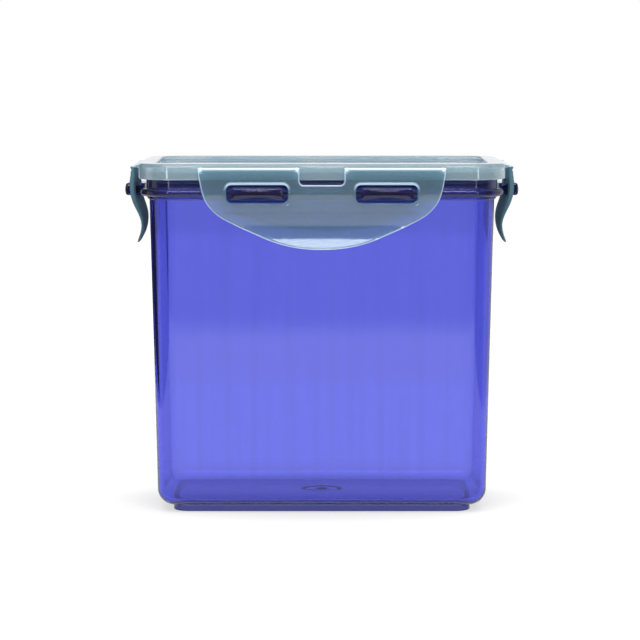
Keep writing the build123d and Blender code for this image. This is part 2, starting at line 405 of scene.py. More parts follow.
def unite(target, parts):
    """Boolean union of target with the parts, which are used up."""
    bm = bmesh.new()
    for part in parts:
        bm.from_mesh(part.data)
        bpy.data.objects.remove(part)
    tool_mesh = bpy.data.meshes.new("tool")
    bm.to_mesh(tool_mesh)
    bm.free()
    tool = bpy.data.objects.new("tool", tool_mesh)
    bpy.context.scene.collection.objects.link(tool)
    modifier = target.modifiers.new("union", "BOOLEAN")
    modifier.operation, modifier.solver, modifier.object = "UNION", "EXACT", tool
    depsgraph = bpy.context.evaluated_depsgraph_get()
    united = bpy.data.meshes.new_from_object(target.evaluated_get(depsgraph))
    target.modifiers.clear()
    if len(united.vertices) < len(target.data.vertices):
        raise RuntimeError(f"union on {target.name} lost geometry")
    target.data = united
    bpy.data.objects.remove(tool)
    return fix_normals(target)


# ------------------------------------------------------------------ container
BASE_Z = 3.0               # underside, inside the foot ring
OUTER_HX = 70.48           # drafted outer wall, taken down to BASE_Z
OUTER_RADIUS = 7.0
FLOOR_HEIGHT = 5.2
FLOOR_Z = body_low[2] + FLOOR_HEIGHT
INNER_HX = 68.58           # drafted inner wall, taken down to FLOOR_HEIGHT
INNER_RADIUS = 5.1
FOOT_CORNER_CENTRE = 57.0
# (half width, z, corner radius)
FOOT_PROFILE = [(60.8, BASE_Z, 0), (62.2, BASE_Z, 0.4), (62.2, 0, 0.45), (64.0, 0, 0.45),
                (64.0, BASE_Z, 0)]
# round mark in the floor: (radius, depth), and the depth at its centre
FLOOR_MARK = [(8.95, 0), (8.6, 0.08), (8.35, 0.35), (8.1, 0.55), (7.85, 0.55), (7.6, 0.35),
              (7.35, 0.08), (7.0, 0), (5.0, -0.12), (2.9, -0.12), (2.4, 0.0), (2.0, 0.3),
              (1.6, 0.75), (1.0, 0.95), (0.5, 1.0)]
FLOOR_MARK_DEPTH = 1.0


def bottom_arc(wall_x, centre_z, radius, degrees):
    """Arc under a drafted wall that stands at wall_x at the height of the arc's centre."""
    centre_x = wall_x - radius / math.cos(DRAFT)
    return np.array([(centre_x + radius * math.sin(t), centre_z - radius * math.cos(t))
                     for t in np.radians(degrees)])


def wall_profile():
    """(half width, z) up the outer wall, over flange and rim, and down to the floor."""
    outer = bottom_arc(OUTER_HX + OUTER_RADIUS * SLOPE, BASE_Z + OUTER_RADIUS, OUTER_RADIUS,
                       np.linspace(3.1, 90 - DRAFT_DEGREES, 18))
    inner_foot = INNER_HX - FLOOR_HEIGHT * SLOPE      # inner wall taken down to z = 0
    inner_z = FLOOR_HEIGHT + INNER_RADIUS
    inner = bottom_arc(inner_foot + inner_z * SLOPE, inner_z, INNER_RADIUS,
                       np.linspace(90 - DRAFT_DEGREES, 0, 16))
    band_z = FLANGE_Z0 - 1.3
    band_x, rim_out, rim_in = FLANGE_HX - 3.3, FLANGE_HX - 2.7, FLANGE_HX - 4.9
    upper = rounded([(*outer[-1], 0), (OUTER_HX + (band_z - BASE_Z) * SLOPE, band_z, 0.3),
                     (band_x, band_z, 0.35), (band_x, FLANGE_Z0, 0.35),
                     (FLANGE_HX, FLANGE_Z0, 1.4), (FLANGE_HX, FLANGE_Z1, 1.4),
                     (rim_out, FLANGE_Z1, 0.4), (rim_out, RIM_TOP, 0.7),
                     (rim_in, RIM_TOP, 0.7), (rim_in, FLANGE_Z0, 0.4),
                     (inner_foot + FLANGE_Z0 * SLOPE, FLANGE_Z0, 0.4), (*inner[0], 0)], step=9)
    return np.vstack([outer[:-1], densify(upper, 6.0, support=0.3), inner[1:]])


def build_lugs():
    """Lugs with an arched underside and a crowned nose."""
    half = LUG_WIDTH / 2
    arch_margin, arch_rise, arch_steps = 2.4, 1.0, 22
    arch = [(-half + arch_margin + (2 * half - 2 * arch_margin) * k / arch_steps,
             LUG_Z0 + arch_rise * (1 - (1 - 2 * k / arch_steps) ** 2), 0)
            for k in range(arch_steps + 1)]
    loop = rounded([(-half, LUG_Z1, 1.5), (-half, LUG_Z0, 0.9), *arch,
                    (half, LUG_Z0, 0.9), (half, LUG_Z1, 1.5)], closed=True)
    loop = densify(loop, 1.6, closed=True, support=0.2)
    return [prism(loop, FLANGE_FACE[side] - 1.2, FLANGE_FACE[side] + 7.22, (0, 1.0),
                  lambda section, out: turned(side, section[:, 0] + centre, out, section[:, 1]),
                  crown=0.28)
            for side, centres in LUG_CENTRES.items() for centre in centres]


def build_gussets():
    """Two small gussets under each side lug, from section points (outward, z)."""
    thickness, root_x = 1.2, 72.63
    top_z, tip_x = FLANGE_Z0 + 0.53, FLANGE_HX - 0.7
    loop = np.array([(root_x, top_z), (tip_x, top_z), (tip_x, FLANGE_Z0 - 0.3),
                     (root_x, FLANGE_Z0 - 4.6)])
    return [prism(loop, start, start + thickness, (0.2, 0.2),
                  lambda section, along: turned(side, along, section[:, 0], section[:, 1]))
            for side in ("left", "right") for start in (-9.6, 8.4)]


def build_container():
    middle = circle(9.0, BASE_Z)
    base = ring(FOOT_PROFILE[0][0], BASE_Z, centre=FOOT_CORNER_CENTRE)
    rings = [circle(4.0, BASE_Z), middle]
    rings += [mix(middle, base, t) for t in (0.3, 0.6, 0.85)]
    rings += [ring(half_x, z, centre=FOOT_CORNER_CENTRE)
              for half_x, z in densify(rounded(FOOT_PROFILE), 0.9, support=0.15)]
    rings += [ring(half_x, z) for half_x, z in wall_profile()]
    edge, mark_edge = rings[-1], circle(9.6, FLOOR_Z)
    rings += [mix(edge, mark_edge, t) for t in (0.02, 0.1, 0.25, 0.45, 0.65, 0.85, 1)]
    rings += [circle(radius, FLOOR_Z - depth) for radius, depth in FLOOR_MARK]
    tub = sweep("container_shell", rings, pole_start=(0, 0, BASE_Z),
                pole_end=(0, 0, FLOOR_Z - FLOOR_MARK_DEPTH))
    tub = unite(tub, build_lugs())
    tub = unite(tub, build_gussets())
    return smooth(tub, 36)


# ------------------------------------------------------------------ lid and seal
# dimple in the middle of the lid: (radius, depth), and the depth at its centre
LID_DIMPLE = [(1.2, 0.25), (1.9, 0.18), (2.5, 0.03), (3.0, 0), (12.0, 0)]
LID_DIMPLE_DEPTH = 0.27
# recess, top, skirt, plug and underside: (distance in from the skirt, z, corner radius)
LID_PROFILE = [(8.6, RECESS_Z, 0), (7.5, RECESS_Z, 0.45), (7.5, LID_TOP, 0.6), (0, LID_TOP, 1.9),
               (0, SKIRT_Z, 0.45), (1.6, SKIRT_Z, 0.45), (1.6, RECESS_Z, 0.4),
               (6.2, RECESS_Z, 0.4), (6.2, PLUG_Z, 0.5), (7.8, PLUG_Z, 0.5),
               (7.8, UNDER_Z, 0.5), (9.2, UNDER_Z, 0)]
# hinge ledge: (distance out from the skirt, z, corner radius), its root inside the skirt
LEDGE_SECTION = [(-1.0, LID_TOP - 0.7, 0), (FILM_OUT0, FILM_Z1, 0.16),
                 (FILM_OUT0, FILM_Z0, 0.16), (-1.0, LID_TOP - 2.7, 0)]


def build_ledges():
    loop = densify(rounded(LEDGE_SECTION, closed=True), 0.8, closed=True, support=0.1)
    return [prism(loop, start, end, (0.18, 0.18),
                  lambda section, along: turned(side, along, section[:, 0] + LID_FACE[side],
                                                section[:, 1]))
            for side, spans in LEDGE_SPANS.items() for start, end in spans]


def build_lid():
    rings = [circle(radius, RECESS_Z - depth) for radius, depth in LID_DIMPLE]
    middle, inner = rings[-1], ring(LID_HX - LID_PROFILE[0][0], RECESS_Z)
    rings += [mix(middle, inner, t) for t in (0.3, 0.6, 0.85, 0.97)]
    profile = rounded([(LID_HX - depth, z, radius) for depth, z, radius in LID_PROFILE], step=9)
    rings += [ring(half_x, z) for half_x, z in densify(profile, 1.8, support=0.2)]
    edge = rings[-1]
    rings += [mix(edge, circle(8.0, UNDER_Z), t) for t in (0.05, 0.25, 0.5, 0.75, 1)]
    rings.append(circle(3.0, UNDER_Z))
    lid = sweep("lid_shell", rings, pole_start=(0, 0, RECESS_Z - LID_DIMPLE_DEPTH),
                pole_end=(0, 0, UNDER_Z))
    return smooth(unite(lid, build_ledges()), 36)


def build_seal():
    """Closed band between plug and skirt, with a groove along its top."""
    inner, outer = LID_HX - 6.1, LID_HX - 1.7
    bottom, top = seal_low[2], seal_high[2]
    middle = (inner + outer) / 2
    profile = rounded([(outer, bottom, 0.5), (outer, top, 0.5), (middle + 0.5, top, 0.2),
                       (middle, top - 0.3, 0.2), (middle - 0.5, top, 0.2), (inner, top, 0.5),
                       (inner, bottom, 0.5), (middle, bottom, 0)], closed=True)
    profile = densify(profile, 0.8, closed=True, support=0.15)
    return smooth(sweep("silicone_seal", [ring(x, z) for x, z in profile], wrap=True), 40)


# ------------------------------------------------------------------ flaps
# heights here are for a lid top at z = 150; FLAP_DZ moves the flaps to the real one
FLAP_DZ = LID_TOP - 150.0
# a flap's outer and inner faces in section: (distance out from the lid's skirt, z)
OUTER_FACE = [(2.62, 148.5), (2.88, 148.36), (3.1, 148.1), (3.25, 146.7), (3.4, 145.0),
              (3.7, 143.3), (3.88, 141.6), (3.9, 139.9), (3.82, 138.2), (3.65, 136.5),
              (3.3, 134.8), (2.6, 132.4), (1.75, 130.3), (0.75, 127.9), (0.05, 125.8),
              (-0.35, 123.6), (-0.25, 121.4), (0.25, 119.2), (1.0, 117.2), (1.85, 115.3),
              (2.55, 114.0)]
INNER_FACE = [(1.3, 114.1), (0.4, 115.5), (-0.45, 117.3), (-1.15, 119.2), (-1.6, 121.4),
              (-1.7, 123.4), (-1.6, 125.2), (-1.2, 127.2), (-0.55, 129.2), (0.25, 131.2),
              (0.95, 133.0), (1.5, 134.9), (1.8, 136.5), (1.92, 138.2), (1.95, 139.9),
              (1.88, 141.6), (1.78, 143.3), (1.78, 145.0), (2.0, 146.6), (2.62, 148.05)]
# half outlines from the root down to the tip: (half width, z)
LONG_OUTLINE = [(51.97, 148.5), (51.9, 146.0), (51.4, 143.0), (50.3, 137.9), (48.7, 133.9),
                (44.3, 128.7), (37.0, 124.4), (28.5, 120.5), (20.1, 117.1), (11.7, 115.0),
                (3.3, 114.15)]
SHORT_OUTLINE = [(25.0, 148.5), (25.0, 146.0), (24.8, 141.5), (24.3, 137.5), (23.2, 133.5),
                 (20.8, 129.3), (17.3, 125.0), (13.3, 121.0), (9.2, 117.6), (5.0, 115.2),
                 (1.6, 114.15)]
FLAP_OUTLINE = per_side(LONG_OUTLINE, SHORT_OUTLINE)
NOTCHED = per_side(True, False)
NOTCH_Z, NOTCH_RADIUS = 141.4, 1.8
SLOT_Z0, SLOT_Z1, SLOT_WIDTH, SLOT_RADIUS = 134.0, 141.3, 25.7, 2.0
MARK_Z, MARK_RADIUS = 128.6, 1.6           # faint round mark below each slot
GRIP_Z, GRIP_STEP = 129.6, 0.12            # the grip steps back here, within +- GRIP_STEP
BOSS_Z, BOSS_IN = 147.7, 0.9               # small bosses at the root, in from its ends
ROOT_TOP = 148.05                          # above it the inner face stays at ROOT_OUT
ROOT_OUT = 2.62
EDGE_RADIUS = 0.75
# rows of points beside the edges, and an even field between them
OUTLINE_ROWS = (0.05, 0.16, 0.32, 0.52, 0.75, 1.05, 1.5)
SLOT_ROWS = (0.05, 0.14, 0.28, 0.45, 0.65, 0.85, 1.0, 1.12, 1.24, 1.4, 1.7)
FIELD_X, FIELD_Z = 1.5, 0.75
# ripples across the outer face near the root: (z, width, rise)
ROOT_RIPPLES = ((147.75, 0.42, 0.30), (146.75, 0.45, -0.26), (145.7, 0.5, 0.12))


def saturate(values):
    return np.clip(values, 0, 1)


def bell(offset, width):
    return np.exp(-(offset / width) ** 2)


def flap_loop(side):
    """Outline down the right side, round the tip, up the left and round any notch."""
    half = FLAP_OUTLINE[side]
    right = curve([*half, (-half[-1][0], half[-1][1])], 12)
    right = right[right[:, 0] > 0]
    tip = np.array([[0.0, right[-1][1] - 0.02]])
    parts = [right, tip, right[::-1] * (-1, 1)]
    if NOTCHED[side]:
        top = right[0][1]
        parts.append(rounded([(-NOTCH_HX, top, 0), (-NOTCH_HX, NOTCH_Z, NOTCH_RADIUS),
                              (NOTCH_HX, NOTCH_Z, NOTCH_RADIUS), (NOTCH_HX, top, 0)], step=8))
    return evenly(np.vstack(parts), 0.62)


def slot_loop(centre):
    left, right = centre - SLOT_WIDTH / 2, centre + SLOT_WIDTH / 2
    corners = ((left, SLOT_Z0), (right, SLOT_Z0), (right, SLOT_Z1), (left, SLOT_Z1))
    return evenly(rounded([(x, z, SLOT_RADIUS) for x, z in corners], closed=True, step=8), 0.5)


def in_sheet(points, loop, holes):
    """Whether each point is inside the outline and outside every slot."""
    inside = contains(loop, points)
    for hole in holes:
        inside &= ~contains(hole, points)
    return inside


def inner_points(loop, holes, root_x):
    """Rows that follow every edge, an even field, and two rows at the grip's step."""
    groups = []
    for depth in OUTLINE_ROWS:
        row = inset(loop, depth)
        groups.append(row[(distance(row, loop) > depth * 0.96) & contains(loop, row)])
    groups += [inset(hole, -depth) for hole in holes for depth in SLOT_ROWS]
    x_places = np.arange(loop[:, 0].min(), loop[:, 0].max(), FIELD_X)
    z_places = np.arange(loop[:, 1].min(), loop[:, 1].max(), FIELD_Z)
    field = np.stack(np.meshgrid(x_places, z_places), -1).reshape(-1, 2)
    row_number = np.round((field[:, 1] - z_places[0]) / FIELD_Z).astype(int)
    field[:, 0] += FIELD_X / 2 * (row_number % 2)
    keep = in_sheet(field, loop, holes) & (distance(field, loop) > 1.95)
    for hole in holes:
        keep &= distance(field, hole) > 2.1
    groups.append(field[keep])
    step_x = np.arange(-root_x + 1, root_x - 1, 1.2)
    for z in (GRIP_Z - GRIP_STEP, GRIP_Z + GRIP_STEP):
        row = np.c_[step_x, np.full(len(step_x), z)]
        row = row[contains(loop, row)]
        groups.append(row[distance(row, loop) > 1.7])
    points = np.vstack(groups)
    return points[in_sheet(points, loop, holes)]


def triangulate(loop, holes, inner):
    """Constrained Delaunay mesh of the sheet: its points and triangles."""
    edges, first = [], 0
    for border in (loop, *holes):
        size = len(border)
        edges += [(first + k, first + (k + 1) % size) for k in range(size)]
        first += size
    given = [Vector(v) for v in np.vstack([loop, *holes, inner])]
    verts, _, faces, _, _, _ = delaunay_2d_cdt(given, edges, [], 0, 1e-5)
    points = np.array([tuple(v) for v in verts])
    triangles = np.array([face for face in faces if len(face) == 3])
    return points, triangles[in_sheet(points[triangles].mean(axis=1), loop, holes)]


def flap_rise(points, from_outline, from_slot, grip, centres, bosses, boss_rise):
    """How far the outer face stands out of its plain section."""
    x, z = points[:, 0], points[:, 1]
    rise = np.zeros(len(points))
    # raised border round each slot
    near = from_slot < 1.45
    across = saturate(from_slot[near] / 1.25)
    rise[near] = 0.55 * np.clip(1 - np.abs(2 * across - 0.9) ** 2.6, 0, 1)
    for centre in centres:
        rise -= 0.05 * bell(np.hypot(x - centre, z - MARK_Z) - MARK_RADIUS, 0.28)
    rise -= 0.34 * grip * saturate((from_outline - 1.6) / 2.2)
    for height, width, amount in ROOT_RIPPLES:
        rise += amount * bell(z - height, width)
    for boss_x in bosses:
        rise += boss_rise * bell(x - boss_x, 0.85) * bell(z - BOSS_Z, 0.6)
    return rise * saturate(from_outline / 0.25)


def painted_edge_highlight(points, from_outline, from_slot, bosses):
    """Strength of the painted highlight along edges, slot borders, root and bosses."""
    x, z = points[:, 0], points[:, 1]
    above_slot = 0.12 + 0.88 * saturate((z - 138.6) / 2.6) ** 1.3
    layers = [bell(from_outline, 0.36), 0.8 * above_slot * bell(from_slot - 0.55, 0.42),
              0.95 * saturate((z - 147.5) / 0.6)]
    layers += [bell(np.hypot(x - boss_x, z - BOSS_Z), 0.75) for boss_x in bosses]
    return np.maximum.reduce(layers)


def store(obj, name, values):
    attribute = obj.data.attributes.new(name, "FLOAT", "POINT")
    attribute.data.foreach_set("value", values.astype(np.float32))


def drop_loose(obj):
    bm = bmesh.new()
    bm.from_mesh(obj.data)
    loose = [v for v in bm.verts if not v.link_faces]
    bmesh.ops.delete(bm, geom=loose, context="VERTS")
    bm.to_mesh(obj.data)
    bm.free()


def build_flap(side):
    centres, root_x = LUG_CENTRES[side], FLAP_OUTLINE[side][0][0]
    loop = flap_loop(side)
    holes = [slot_loop(centre) for centre in centres]
    points, triangles = triangulate(loop, holes, inner_points(loop, holes, root_x))
    z = points[:, 1]
    from_outline = distance(points, loop)
    from_slot = np.minimum.reduce([distance(points, hole) for hole in holes])
    from_edge = np.minimum(from_outline, from_slot)
    on_edge = from_edge < 1e-4

    outer, inner = curve(OUTER_FACE, 14), curve(INNER_FACE, 14)
    outer_out = np.interp(z, outer[::-1, 1], outer[::-1, 0])
    inner_out = np.interp(z, inner[:, 1], inner[:, 0])
    inner_out = np.minimum(np.where(z > ROOT_TOP, ROOT_OUT, inner_out), outer_out)
    middle, half_thick = (outer_out + inner_out) / 2, (outer_out - inner_out) / 2
    # full round edges
    half_thick = half_thick * np.sqrt(saturate(1 - (1 - saturate(from_edge / EDGE_RADIUS)) ** 2))

    grip = (saturate((GRIP_Z + GRIP_STEP - z) / (2 * GRIP_STEP))
            * saturate((z - GRIP_Z + 9) / 9) ** 1.5)
    boss_places, boss_rise = [root_x - BOSS_IN], 0.12
    if NOTCHED[side]:
        boss_places, boss_rise = [root_x - BOSS_IN, NOTCH_HX + BOSS_IN], 0.42
    bosses = [sign * place for sign in (-1, 1) for place in boss_places]
    rise = flap_rise(points, from_outline, from_slot, grip, centres, bosses, boss_rise)
    outward = [np.where(on_edge, middle, middle + half_thick + rise), middle - half_thick]
    verts = np.vstack([turned(side, points[:, 0], out + LID_FACE[side], z + FLAP_DZ)
                       for out in outward])
    # the two skins share the vertices on the edges
    index = np.arange(len(points)) + len(points)
    index[on_edge] = np.nonzero(on_edge)[0]
    faces = [tuple(int(v) for v in triangle) for triangle in triangles]
    faces += [tuple(int(index[v]) for v in triangle[::-1]) for triangle in triangles]
    flap = new_object(side + "_flap_shell", verts, faces)

    # painted highlight along the edges, slot borders, root and bosses, stored for the material
    glow = painted_edge_highlight(points, from_outline, from_slot, bosses)
    # painted shade: the flap is tinted darker below the grip's step
    shade = grip * saturate((from_outline - 1.4) / 0.8)
    store(flap, "painted_edge_highlight", np.r_[glow, glow])
    store(flap, "grip_shade", np.r_[shade, shade])
    # 0 where the hinge runs along x, 1 where it runs along y
    store(flap, "hinge_axis", np.full(len(verts), per_side(0.0, 1.0)[side]))
    drop_loose(flap)
    return smooth(fix_normals(flap), 50)


# ------------------------------------------------------------------ hinge films
def build_film(node, side):
    """Thin strip from the ledge to the flap's root, beaded near its two ends."""
    low, high = mm_box(node)
    axis = per_side(0, 1)[side]
    start, end = low[axis], high[axis]
    if side in ("back", "left"):
        start, end = -end, -start
    # section across the film, thinner in the middle
    across = np.linspace(FILM_OUT0 - 0.12, FILM_OUT1 + 0.14, 15)
    waist = 0.06 * bell(across - (FILM_OUT0 + FILM_OUT1) / 2, 0.22)
    loop = np.vstack([np.c_[across, FILM_Z1 - 0.02 - waist * 0.6],
                      np.c_[across[::-1], FILM_Z0 + 0.02 + waist[::-1]]])
    lead = np.array([0, 0.04, 0.12, 0.25, 0.4, 0.6, 0.8, 1.0, 1.2, 1.45, 1.75, 2.1])
    stations = np.r_[start + lead, np.linspace(start + 2.6, end - 2.6, 22), end - lead[::-1]]
    middle_z = (FILM_Z0 + FILM_Z1) / 2
    face = LID_FACE[side]
    rings = []
    for station in stations:
        from_end = min(station - start, end - station)
        bead = 1 + 0.85 * math.exp(-((from_end - 0.7) / 0.5) ** 2)
        shut = math.sqrt(max(0.0, 1 - (1 - min(from_end / 0.45, 1)) ** 2)) * 0.8 + 0.2
        z = (loop[:, 1] - middle_z) * bead * shut + middle_z
        rings.append(turned(side, station, loop[:, 0] + face, z))
    film = smooth(capped(node + "_film", rings), 50, weighted=False)
    ends = turned(side, 0.0, [FILM_OUT0 + face, FILM_OUT1 + face], FILM_Z1)
    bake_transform(film)
    return film


# ------------------------------------------------------------------ node helper
class Nodes:
    """Short calls for building the node tree of a material or world."""

    def __init__(self, owner, output_kind="ShaderNodeOutputMaterial"):
        owner.use_nodes = True
        self.owner, self.tree = owner, owner.node_tree
        self.tree.nodes.clear()
        self.output = self.tree.nodes.new(output_kind)

    def put(self, node, key, value):
        socket = node.inputs[key]
        if isinstance(value, bpy.types.NodeSocket):
            self.tree.links.new(value, socket)
        elif isinstance(value, tuple) and socket.type == "RGBA":
            socket.default_value = (*value, 1)
        else:
            socket.default_value = value

    def sockets(self, kind, inputs=(), **settings):
        """New node's outputs. Settings are its properties, or inputs with _ for a space."""
        node = self.tree.nodes.new("ShaderNode" + kind)
        for key, value in settings.items():
            if hasattr(node, key):
                setattr(node, key, value)
            else:
                self.put(node, key.replace("_", " "), value)
        for index, value in dict(inputs).items():
            self.put(node, index, value)
        return node.outputs

    def add(self, kind, output=0, **settings):
        return self.sockets(kind, **settings)[output]

    def finish(self, surface, volume=None):
        self.put(self.output, "Surface", surface)
        if volume:
            self.put(self.output, "Volume", volume)
        return self.owner

    def math(self, operation, first, second=0.0, clamp=False):
        return self.add("Math", operation=operation, use_clamp=clamp,
                        inputs={0: first, 1: second})

    def times(self, *values):
        return reduce(lambda a, b: self.math("MULTIPLY", a, b), values)

    def plus(self, *values):
        return reduce(lambda a, b: self.math("ADD", a, b), values)

    def largest(self, *values):
        return reduce(lambda a, b: self.math("MAXIMUM", a, b), values)

    def minus(self, first, second, clamp=False):
        return self.math("SUBTRACT", first, second, clamp)

    def size(self, value):
        return self.math("ABSOLUTE", value)

    def ramp(self, value, span, to=(0.0, 1.0)):
        """Smooth step over span, giving the two values in to."""
        return self.add("MapRange", interpolation_type="SMOOTHSTEP", Value=value,
                        From_Min=span[0], From_Max=span[1], To_Min=to[0], To_Max=to[1])

    def colour(self, factor, first, second):
        return self.add("Mix", output=2, data_type="RGBA",
                        inputs={0: factor, 6: first, 7: second})

    def noise(self, vector, scale, detail, rough=0.55, stretch=None, turn=(0.3, 0.5, 0.8)):
        if stretch:
            vector = self.add("Mapping", Vector=vector, Scale=stretch, Rotation=turn)
        return self.add("TexNoise", output="Fac", Vector=vector, Scale=scale, Detail=detail,
                        Roughness=rough)

    def mix(self, factor, first, second):
        return self.add("MixShader", inputs={0: factor, 1: first, 2: second})

    def attribute(self, name):
        return self.add("Attribute", output="Fac", attribute_name=name)

    def split(self, vector):
        return self.sockets("SeparateXYZ", inputs={0: vector})


def new_material(name):
    return Nodes(bpy.data.materials.new(name))


def span_mm(low, high):
    return low * MM, high * MM


# ------------------------------------------------------------------ materials
def surface_detail(net, grain, waves, scratch, base_rough, spread):
    """Shared detail: moulding grain, slow waviness, hair scratches, and an edge mask from
    pointed edges and the painted edge highlight; it roughens edges, and the materials lighten
    edges with it, a painted highlight on the lid and flaps.
    """
    position = net.add("TexCoord", output="Object")
    slow = net.noise(position, scale=26, detail=2)
    mid = net.noise(position, scale=140, detail=3)
    fine = net.noise(position, scale=2600, detail=2)
    hair_y = net.noise(position, scale=60, detail=4, rough=0.6, stretch=(1, 38, 1))
    hair_x = net.noise(position, scale=60, detail=4, rough=0.6, stretch=(34, 1, 3))
    hair = net.largest(net.ramp(hair_y, span=(0.70, 0.76)), net.ramp(hair_x, span=(0.71, 0.77)))
    pointed = net.ramp(net.add("NewGeometry", output="Pointiness"), span=(0.53, 0.62))
    # edge mask: pointed edges and the painted edge highlight that the flaps carry
    edge = net.largest(pointed, net.attribute("painted_edge_highlight"))
    rough = net.plus(base_rough, net.times(mid, spread), net.times(hair, scratch))
    rough = net.math("ADD", rough, net.times(edge, 0.05), clamp=True)
    bump = net.add("Bump", Strength=waves, Distance=0.0006, Height=slow)
    bump = net.add("Bump", Strength=grain, Distance=0.00003, Height=fine, Normal=bump)
    bump = net.add("Bump", Strength=grain, Distance=0.00002, Height=hair, Normal=bump,
                   invert=True)
    return SimpleNamespace(position=position, slow=slow, mid=mid, hair=hair, edge=edge,
                           rough=rough, bump=bump)


def clear_violet():
    """Clear plastic dyed violet through its volume, with a little haze."""
    net = new_material("violet_clear_plastic")
    look = surface_detail(net, grain=0.08, waves=0.05, scratch=0.08, base_rough=0.012,
                          spread=0.025)
    x, y, height = net.split(look.position)
    flange = net.ramp(height, span=span_mm(FLANGE_Z0 - 1.6, FLANGE_Z0 - 0.2))
    foot = net.ramp(height, span=span_mm(2.2, 3.4), to=(1.0, 0.0))
    # painted shade: the wall behind each front and back lug is tinted darker where it shows
    # through the flap's slots
    from_lug = net.size(net.minus(net.size(x), LUG_X * MM))
    across = net.size(y)
    face = FLANGE_FACE["front"]
    painted_slot_shade = net.times(
        net.ramp(from_lug, span=span_mm(12.8, 18.0), to=(1.0, 0.0)),
        net.ramp(height, span=span_mm(FLANGE_Z0 - 5.0, FLANGE_Z0 - 3.2)),
        net.ramp(across, span=span_mm(face - 4.7, face - 4.1)),
        net.ramp(height, span=span_mm(FLANGE_Z1 + 0.6, FLANGE_Z1 + 3.4), to=(1.0, 0.0)),
        net.ramp(across, span=span_mm(face + 0.4, face + 1.0), to=(1.0, 0.0)))
    # painted shade: the flange with its lugs and rim is tinted darker, here and in the haze
    # below, and so is the foot, standing in for the shade under the lid and under the container
    clear = net.colour(flange, (1, 1, 1), (0.42, 0.46, 0.34))
    clear = net.colour(painted_slot_shade, clear, (0.12, 0.16, 0.17))
    clear = net.colour(foot, clear, (0.14, 0.15, 0.40))
    glass = net.add("BsdfPrincipled", Base_Color=clear, Roughness=look.rough, IOR=1.5,
                    Transmission_Weight=1.0, Normal=look.bump)
    tint = net.colour(net.plus(net.times(look.slow, 0.7), net.times(look.edge, 0.5)),
                      (0.16, 0.15, 0.50), (0.30, 0.30, 0.72))
    tint = net.colour(flange, tint, (0.19, 0.17, 0.34))
    haze = net.add("BsdfPrincipled", Base_Color=tint, Roughness=0.35, IOR=1.5,
                   Sheen_Weight=0.04, Normal=look.bump)
    # share of haze: a base, then mottling, faint upright streaks, edges, flange and scratches
    upright_streaks = net.noise(look.position, scale=1.0, detail=3, rough=0.6, stretch=(210, 210, 5),
                     turn=(0, 0, 0))
    amount = net.plus(0.005, net.times(look.mid, 0.02),
                      net.times(net.ramp(upright_streaks, span=(0.42, 0.78)), 0.03),
                      net.times(look.edge, 0.04), net.times(flange, 0.05),
                      net.times(look.hair, 0.02))
    seen = net.mix(amount, glass, haze)
    # shadow and diffuse rays pass straight through, tinted
    through = net.add("BsdfTransparent", Color=(0.88, 0.84, 0.60))
    path = net.sockets("LightPath")
    soft = net.largest(path["Is Shadow Ray"], path["Is Diffuse Ray"])
    dye = net.add("VolumeAbsorption", Color=(0.062, 0.122, 0.878), Density=560.0)
    return net.finish(net.mix(soft, seen, through), dye)


def seen_along_hinge(net):
    """1 where the view runs along the flap's hinge, 0 where it crosses it."""
    ray = net.split(net.add("NewGeometry", output="Incoming"))
    axis = net.attribute("hinge_axis")
    run = net.plus(net.times(net.size(ray[0]), net.minus(1.0, axis)),
                   net.times(net.size(ray[1]), axis))
    return net.ramp(run, span=(0.90, 0.985))


